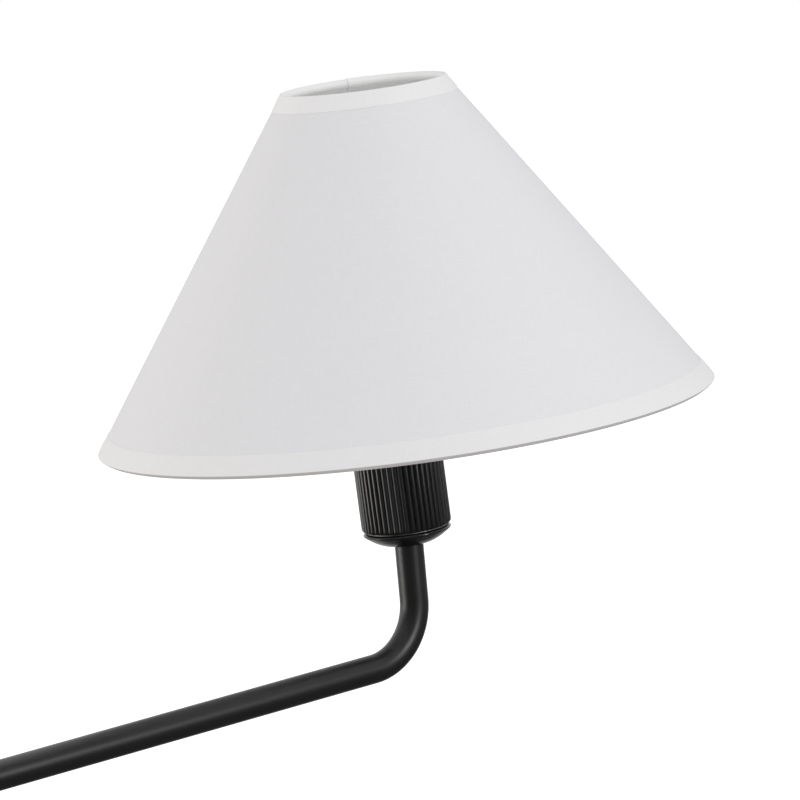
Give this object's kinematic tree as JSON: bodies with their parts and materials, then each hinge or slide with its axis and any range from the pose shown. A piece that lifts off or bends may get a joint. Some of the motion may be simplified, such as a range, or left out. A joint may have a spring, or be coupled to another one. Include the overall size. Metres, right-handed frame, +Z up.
{
  "type": "swing arm wall sconce",
  "caption": "Black double-jointed swing arm wall lamp with a ribbed lampholder and a white fabric cone shade, wired from a round canopy.",
  "frame": {"origin": "on the wall at the middle of the mounting plate's back, midway between its two slots", "axes": "+Z up, +Y into the wall, +X to the right for someone facing the wall; the arms reach out towards -Y"},
  "size_m": [0.4337, 0.5202, 0.3631],
  "materials": {
    "black_powder_coat": "satin",
    "black_phenolic": "satin",
    "zinc_plated_steel": "satin",
    "brass": "satin",
    "nylon": "matte",
    "steatite": "matte",
    "white_pvc": "satin",
    "green_pvc": "satin",
    "green_dyed_brass": "satin",
    "brown_phenolic": "satin",
    "red_nylon": "satin",
    "white_enamel_wire": "gloss",
    "styrene_lining": "matte",
    "white_cotton": "matte",
    "cotton_tape": "matte",
    "opal_glass": "gloss",
    "aluminium": "satin",
    "black_glass": "gloss"
  },
  "bodies": {
    "wall_base": {"mounting_plate": "zinc_plated_steel", "canopy_studs": "zinc_plated_steel", "earth_screw": "green_dyed_brass", "earth_lugs": "zinc_plated_steel", "earth_lead": "green_pvc", "canopy": "black_powder_coat", "canopy_cap_nuts": "black_powder_coat", "stem": "black_powder_coat", "stem_locknut": "brass", "stem_collar": "black_powder_coat", "stem_cup": "black_powder_coat", "stem_cup_cap": "black_powder_coat", "wall_pivot": "brass", "wall_washer": "nylon", "wall_spring_washer": "zinc_plated_steel", "wall_locknut": "brass", "wall_stop_pin": "zinc_plated_steel", "stem_cable": "white_pvc", "canopy_leads": "white_pvc", "wire_connectors": "red_nylon", "switch_body": "brown_phenolic", "switch_nut": "zinc_plated_steel"},
    "switch_knob": {"switch_knob": "black_phenolic"},
    "inner_arm": {"inner_wall_cup": "black_powder_coat", "inner_wall_cap": "black_powder_coat", "inner_tube": "black_powder_coat", "inner_elbow_cup": "black_powder_coat", "inner_elbow_cap": "black_powder_coat", "elbow_pivot": "brass", "elbow_washer": "nylon", "elbow_spring_washer": "zinc_plated_steel", "elbow_locknut": "brass", "elbow_stop_pin": "zinc_plated_steel", "inner_cable": "white_pvc"},
    "outer_arm": {"outer_cup": "black_powder_coat", "outer_cup_cap": "black_powder_coat", "outer_tube": "black_powder_coat", "outer_cable": "white_pvc", "lamp_leads": "white_pvc", "lamp_nipple": "brass", "lamp_dish": "black_powder_coat", "lamp_locknut": "brass", "lampholder_cap": "black_phenolic", "lampholder_core": "steatite", "lampholder_skirt": "black_phenolic", "screw_shell": "brass", "centre_contact": "zinc_plated_steel", "terminal_screws": "brass", "shade_clamp_ring": "black_phenolic", "shade_spider": "white_enamel_wire", "shade_bottom_wire": "white_enamel_wire", "shade_top_wire": "white_enamel_wire", "shade_lining": "styrene_lining", "shade_cover": "white_cotton", "shade_bottom_tape": "cotton_tape", "shade_top_tape": "cotton_tape", "bulb_glass": "opal_glass", "bulb_cap": "aluminium", "bulb_contact": "black_glass"}
  },
  "joints": [
    {"name": "switch_turn", "type": "hinge", "parent": "wall_base", "child": "switch_knob", "pos_m": [0, -0.034, -0.032], "axis": [0, -1, 0], "range_deg": [0, 60]},
    {"name": "wall_swing", "type": "hinge", "parent": "wall_base", "child": "inner_arm", "pos_m": [0, -0.06, 0.0124], "axis": [0, 0, 1], "range_deg": [-60, 120]},
    {"name": "elbow_swing", "type": "hinge", "parent": "inner_arm", "child": "outer_arm", "pos_m": [-0.125, -0.27651, 0.0372], "axis": [0, 0, 1], "range_deg": [-250, 50]}
  ]
}
